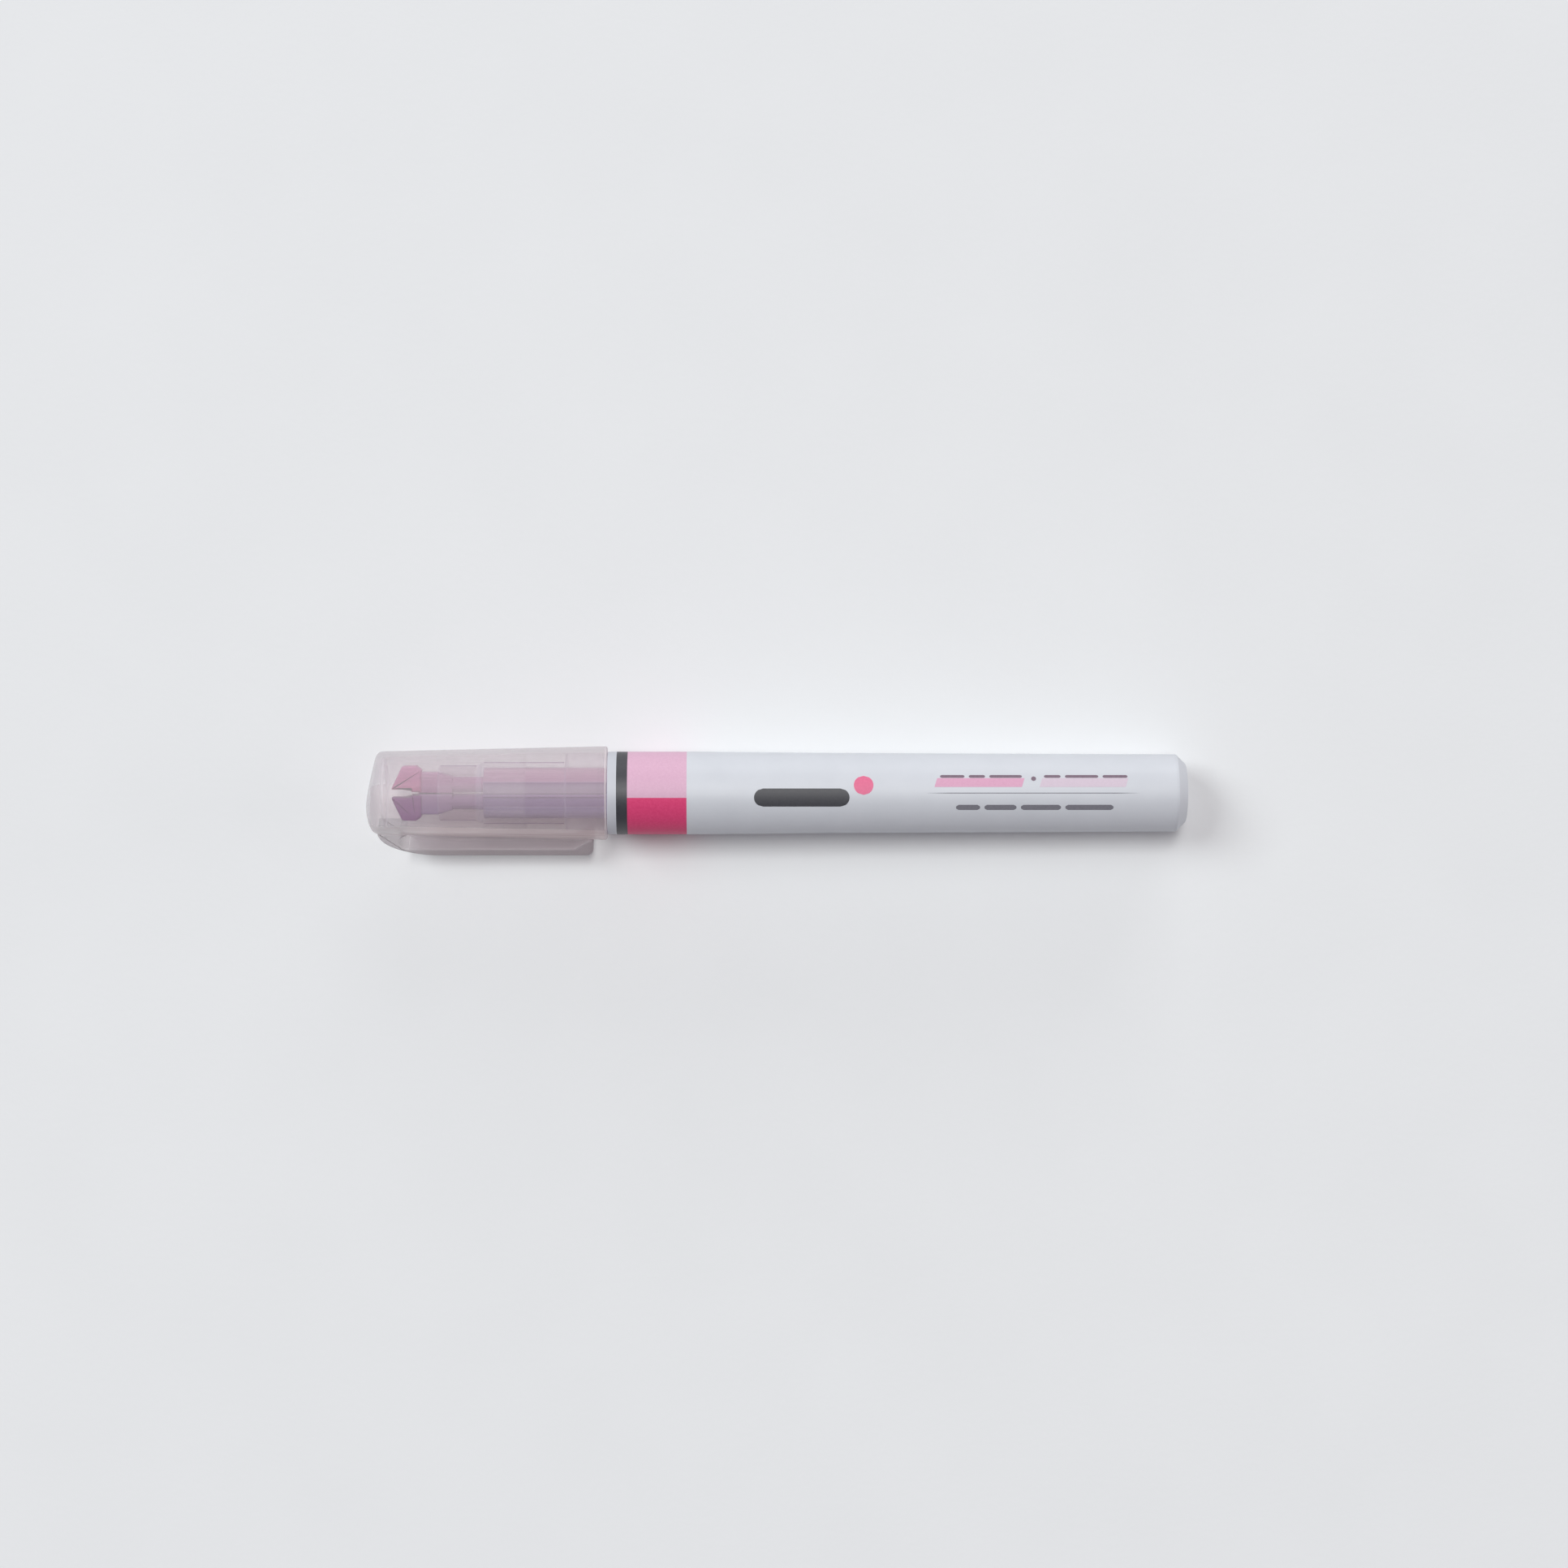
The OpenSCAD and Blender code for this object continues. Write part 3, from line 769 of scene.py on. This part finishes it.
def make_nib(name, side, material, neck_material, node):
    """A chisel head with soft felt edges, its neck and the stem that runs to the ink core."""
    half_w, stem_end = 4.5, heights(node)[1]
    head_end = NIB_TIP + 5
    tip_y = NIB_GAP + 0.4

    def facing(u, v, w):
        """u points to the nib's own side, v up the pen, w through the nib's thickness."""
        return (w, side * u, v)

    head = [(tip_y, NIB_TIP, 0.15), (half_w - 0.05, NIB_TIP + 1.8, 0.5),
            (half_w, NIB_TIP + 4.1, 0.3), (half_w - 0.7, head_end, 0.2), (NIB_GAP, head_end),
            (NIB_GAP, NIB_TIP + 3.4, 0.1), (tip_y, NIB_TIP + 3.2)]
    neck = [(NECK_GAP, NIB_TIP + 4.5), (NECK_Y, NIB_TIP + 4.5), (NECK_Y, NOSE_START - 0.1, 1.2),
            (STEM_Y + STEM_R, TAPER_END), (NECK_GAP, TAPER_END)]
    piece = slab(name, rounded(head), width=2.9, edge=0.3, placed=PEN, upright=facing)
    lower = slab("neck", rounded(neck), width=2.4, edge=0.25, placed=PEN, upright=facing)
    rod = stem("rod", side, STEM_R, stem_end)
    combine(piece, [lower, rod], "UNION")
    paint(piece, material, neck_material)
    classify(piece, PEN, lambda centre, normal: int(centre.z > head_end + 0.05))
    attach(piece, "pen")
    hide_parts(node)


make_nib("felt_nib_rose", 1, felt_rose, felt_rose_neck, "nib_rose")
make_nib("felt_nib_plum", -1, felt_plum, felt_plum_neck, "nib_plum")

NOSE_END = 18.3
COLLAR_START = 32.9
NOSE_R = radius("nib_holder", NOSE_START + 1, NOSE_END + 0.01)
BODY_R = radius("nib_holder", NOSE_END + 0.5, COLLAR_START - 0.5)
COLLAR_R = radius("nib_holder", COLLAR_START + 0.2, BARREL_START)
FRONT_R = 3.85  # inner edge of the nose's front face
EDGE_HALF = math.radians(14)  # half of the strip of painted edge lines along each side of the nib holder, as seen from above at rest


def holder_part(centre, normal):
    """Index of the holder's material at a face: see the paint call in make_holder."""
    r = from_axis(centre)
    turn = math.atan2(centre.y, centre.x) - TOP_TURN
    on_side = abs(math.cos(turn)) < math.sin(EDGE_HALF)
    on_nose = NOSE_START + 0.3 < centre.z < NOSE_END - 0.3 and r > NOSE_R - 0.1
    on_body = NOSE_END + 1.5 < centre.z < COLLAR_START - 2.5 and r > BODY_R - 0.1
    if r > FRONT_R + 0.05 and abs(normal.z) > 0.35:
        return 3  # the steps and rims that face along the pen
    if (on_nose or on_body) and on_side:
        return 1  # the strips of painted edge lines
    return 2 if on_nose else 0


def make_holder():
    """Nose, body and snap collar round the nibs, hollow for the ink cores, with the web that parts
    them."""
    groove_start, groove_end = CAP_LEN - 1.3, CAP_LEN - 1.3 + 0.5
    groove_r = COLLAR_R - 0.25
    stub_r = 5.88
    front = rounded([(0, TAPER_END), (2.95, TAPER_END, 0.1), (FRONT_R, NOSE_START, 0.15),
                     (NOSE_R, NOSE_START)], closed=False)
    sides = rounded([
        (FRONT_R, NOSE_START), (NOSE_R, NOSE_START, 0.4), (NOSE_R, NOSE_END, 0.5),
        (BODY_R, NOSE_END + 1, 0.5), (BODY_R, COLLAR_START, 0.3), (COLLAR_R, COLLAR_START, 0.4),
        (COLLAR_R, groove_start, 0.08), (groove_r, groove_start, 0.08),
        (groove_r, groove_end, 0.08), (COLLAR_R, groove_end, 0.08),
        (COLLAR_R, BARREL_START, 0.1), (stub_r, BARREL_START, 0.1), (stub_r, HOLDER_END, 0.2),
        (CAVITY_R, HOLDER_END, 0.2), (CAVITY_R, CAVITY_START, 0.3), (0, CAVITY_START)],
        closed=False, steps=4)
    piece = lathe("nib_holder_shell", front[:-1] + sides[1:], PEN)
    combine(piece, [stem("bore", side, STEM_R + 0.05, CAVITY_START + 1) for side in (-1, 1)],
            "DIFFERENCE")
    web_r, web_start = CAVITY_R - 0.02, CAVITY_START + 0.02
    web = slab("holder_web", [(-web_r, web_start), (web_r, web_start), (web_r, HOLDER_END),
                              (-web_r, HOLDER_END)], width=0.5, edge=0.05, placed=PEN)
    paint(web, natural_web)
    paint(piece, natural, natural_painted_edge_lines, natural_nose, natural_rim)
    classify(piece, PEN, holder_part)
    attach(piece, "pen")
    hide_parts("nib_holder")
    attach(web, "pen")


make_holder()

for kept, finish in (("reservoir_rose", rose_core_and_highlight), ("reservoir_plum", plum_core_and_highlight),
                     ("film_rose", clear), ("film_plum", clear)):
    paint(NODES[kept], finish)


# ---------------------------------------------------------------- barrel, plug and print
def make_barrel():
    """The tube, recessed for the printed films, with the inner ribs that centre the ink cores."""
    tail_bore = 5.45
    outline = rounded([
        (BARREL_BORE_R, BARREL_START, 0.1), (BARREL_R, BARREL_START, 0.2), (BARREL_R, RING[0]),
        (PRINT_R, RING[0]), (PRINT_R, ZONE[1]), (BARREL_R, ZONE[1]), (BARREL_R, STRAIGHT_END),
        (BARREL_MID_R, STRAIGHT_END + TAPER_LEN), (BARREL_END_R, BARREL_END, 0.05),
        (tail_bore, BARREL_END), (BARREL_BORE_R, HOLDER_END + 1)])
    piece = lathe("barrel_tube", outline, PEN, around=192)
    rib_start, rib_end = HOLDER_END + 2, heights("tail_plug")[0] - 0.5
    rib_out = BARREL_BORE_R + 0.1
    ribs = fins(4, 45, [(CAVITY_R, rib_start), (rib_out, rib_start), (rib_out, rib_end),
                        (CAVITY_R, rib_end)], width=0.6, edge=0.05, placed=PEN)
    paint(combine(piece, ribs, "UNION"), white, white_painted_shade_front)
    # The front below the ring gets the painted shade.
    classify(piece, PEN, lambda centre, normal: int(centre.z < RING[0]))
    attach(piece, "pen")
    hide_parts("barrel")


def make_plug():
    """The chamfered end, with a skirt that reaches into the barrel."""
    chamfer_in = radius("tail_plug", LENGTH - 0.01)
    chamfer_start = LENGTH - (BARREL_END_R - chamfer_in)
    skirt_start, skirt_out, skirt_in = heights("tail_plug")[0], 5.44, 4.3
    floor = BARREL_END - 2
    outline = rounded([(0, LENGTH), (chamfer_in, LENGTH, 0.5), (BARREL_END_R, chamfer_start, 0.4),
                       (BARREL_END_R, BARREL_END), (skirt_out, BARREL_END),
                       (skirt_out, skirt_start, 0.3), (skirt_in, skirt_start, 0.2),
                       (skirt_in, floor, 0.3), (0, floor)], closed=False)
    piece = paint(lathe("end_plug", outline, PEN, around=192), white)
    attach(piece, "pen")
    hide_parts("tail_plug")


def make_print_film(name, span, node, material, arc_deg=None):
    """A printed band on the barrel, full round or through an arc."""
    outline = [(PRINT_R, span[0]), (BARREL_R, span[0]), (BARREL_R, span[1]), (PRINT_R, span[1])]
    around = 96 if arc_deg else 192
    piece = paint(lathe(name, outline, PEN, around=around, arc_deg=arc_deg), material)
    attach(piece, "pen")
    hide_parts(node)


make_barrel()
make_plug()
make_print_film("ring_film", RING, "print_ring", ink_ring)
make_print_film("zone_film_pale", ZONE, "print_pale", ink_pale, (0, 180))
make_print_film("zone_film_vivid", ZONE, "print_vivid", ink_vivid, (180, 360))

# ---------------------------------------------------------------- printed marks
# Generic marks stand where a maker would print words: a bar and a dot, two slanted strokes with
# rows of dashes, a thin rule and a last row of dashes. They face straight up.
INK_T = 0.02  # height of the ink over the barrel
SUNK = 0.01  # depth of its underside within the barrel


def mark(name, low, high, left, right, material, rows=8, columns=6):
    """A printed patch that follows the barrel. low and high are distances round the barrel from the
    print's middle line. left and right give its two ends, as heights on the pen, for a distance."""
    points, faces = [], []
    for layer in (-SUNK, INK_T):
        for i in range(rows + 1):
            around = low + (high - low) * i / rows
            a, b = left(around), right(around)
            for k in range(columns + 1):
                z = a + (b - a) * k / columns
                r = barrel_r(z)
                turn = TOP_TURN - around / r
                points.append(((r + layer) * math.cos(turn), (r + layer) * math.sin(turn), z))
    line = columns + 1
    sheet = line * (rows + 1)
    for i in range(rows):
        for k in range(columns):
            n = i * line + k
            faces.append((n, n + 1, n + 1 + line, n + line))
            faces.append((n + sheet, n + line + sheet, n + 1 + line + sheet, n + 1 + sheet))
    for i in range(rows):
        for n, m in ((i * line, (i + 1) * line), ((i + 1) * line + columns, i * line + columns)):
            faces.append((n, m, m + sheet, n + sheet))
    for k in range(columns):
        for n, m in ((k + 1, k), (rows * line + k, rows * line + k + 1)):
            faces.append((n, m, m + sheet, n + sheet))
    piece = paint(build(name, points, faces, PEN), material)
    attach(piece, "pen")


def pill(name, z0, z1, middle, height, material, rows=10):
    """A bar with round ends, or a disc when its length is its height. middle is its distance round
    the barrel from the print's middle line."""
    half = height / 2

    def inset(around):
        return half - math.sqrt(max(0.0, half * half - (around - middle) ** 2))

    mark(name, middle - half, middle + half, lambda s: z0 + inset(s), lambda s: z1 - inset(s),
         material, rows=rows)


def stroke(name, z0, z1, middle, height, material):
    """A highlighter stroke with slanted ends."""
    slant = 0.31
    mark(name, middle - height / 2, middle + height / 2,
         lambda s: z0 + slant * (s - middle), lambda s: z1 + slant * (s - middle), material)


def dashes(name, z0, z1, middle, height, lengths, material):
    """A row of dashes of several lengths that fills z0..z1."""
    gap = 0.7
    unit = (z1 - z0 - gap * (len(lengths) - 1)) / sum(lengths)
    z = z0
    for i, length in enumerate(lengths):
        pill(f"{name}_{i + 1}", z, z + length * unit, middle, height, material, rows=4)
        z += length * unit + gap


pill("mark_bar", 63.8, 79.4, -0.75, 3.0, ink_grey, rows=12)
pill("mark_dot", 80.1, 83.3, 1.3, 3.2, ink_rose, rows=12)
stroke("mark_stroke_mid", 93.5, 107.8, 1.75, 1.5, ink_mid)
stroke("mark_stroke_pale", 110.7, 124.8, 1.75, 1.5, ink_faint)
dashes("mark_dash_left", 94.2, 107.6, 2.8, 0.5, (3, 2, 4), ink_violet)
dashes("mark_dash_right", 111.2, 124.9, 2.8, 0.5, (2, 4, 3), ink_violet)
pill("mark_point", 109.1, 109.9, 2.4, 0.8, ink_violet)
RULE_HALF = 0.06
RULE_POINT = 60  # how quickly the rule's ends run to a point
mark("mark_rule", -RULE_HALF, RULE_HALF, lambda s: 92.0 + RULE_POINT * abs(s),
     lambda s: 126.8 - RULE_POINT * abs(s), ink_soft, rows=4, columns=16)
dashes("mark_dash_low", 96.8, 122.6, -2.4, 0.9, (3, 4, 5, 6), ink_soft)


# ---------------------------------------------------------------- floor, light and camera
FLOOR_HALF = 10.0  # metres
LENS = 90.5
CAMERA = (1.3, 2.8, 657)  # mm, in the row frame


def make_floor():
    mesh = bpy.data.meshes.new("floor")
    bm = bmesh.new()
    bmesh.ops.create_grid(bm, x_segments=2, y_segments=2, size=FLOOR_HALF)
    bm.to_mesh(mesh)
    bm.free()
    floor = bpy.data.objects.new("floor", mesh)
    bpy.context.scene.collection.objects.link(floor)
    material = bpy.data.materials.new("paper_floor")
    tree, shader = nodes_of(material)
    tone = noise(tree, 40, detail=6)
    tree.links.new(ramp(tree, tone, [(0.2, (0.84, 0.845, 0.855)), (0.8, (0.86, 0.865, 0.875))]),
                   shader.inputs["Base Color"])
    bump(tree, shader, noise(tree, 900, detail=5), 0.00002)
    shader.inputs["Roughness"].default_value = 0.9
    shader.inputs["Specular IOR Level"].default_value = 0.0
    paint(floor, material)


def area_light(name, direction, distance, size, power, colour):
    """A soft light that shines on the pen from a direction, given as slopes (x, y) per unit of
    height. Distance and size are in metres."""
    towards = Vector((*direction, 1)).normalized()
    light = bpy.data.lights.new(name, "AREA")
    light.shape = "RECTANGLE"
    light.size, light.size_y = size
    light.energy = power
    light.color = colour
    obj = bpy.data.objects.new(name, light)
    obj.location = towards * distance
    obj.rotation_euler = towards.to_track_quat("Z", "Y").to_euler()
    bpy.context.scene.collection.objects.link(obj)


def make_light():
    area_light("ceiling", (0.02, 0.19), 5.0, (1.0, 2.8), 118.0, (1.0, 1.0, 0.985))
    area_light("left", (-0.85, 0.45), 5.2, (2.3, 2.8), 125.0, (0.94, 1.0, 1.0))
    area_light("window", (1.2, 4.3), 5.0, (3.0, 1.6), 58.0, (0.97, 1.0, 1.0))
    area_light("right", (5.0, 0.4), 5.0, (1.5, 1.5), 34.0, (1.0, 0.97, 0.96))
    world = bpy.data.worlds.new("studio")
    bpy.context.scene.world = world
    world.use_nodes = True
    background = world.node_tree.nodes["Background"]
    background.inputs["Color"].default_value = (0.98, 0.86, 1.06, 1)
    background.inputs["Strength"].default_value = 0.10


def make_camera():
    """Looks straight down, with the pen across the middle of the picture."""
    data = bpy.data.cameras.new("camera")
    data.lens = LENS
    camera = bpy.data.objects.new("camera", data)
    camera.location = [c * MM for c in CAMERA]
    bpy.context.scene.collection.objects.link(camera)
    bpy.context.scene.camera = camera


make_floor()
make_light()
make_camera()
bpy.context.scene.view_settings.view_transform = "Standard"
bpy.context.scene.cycles.transparent_max_bounces = 40
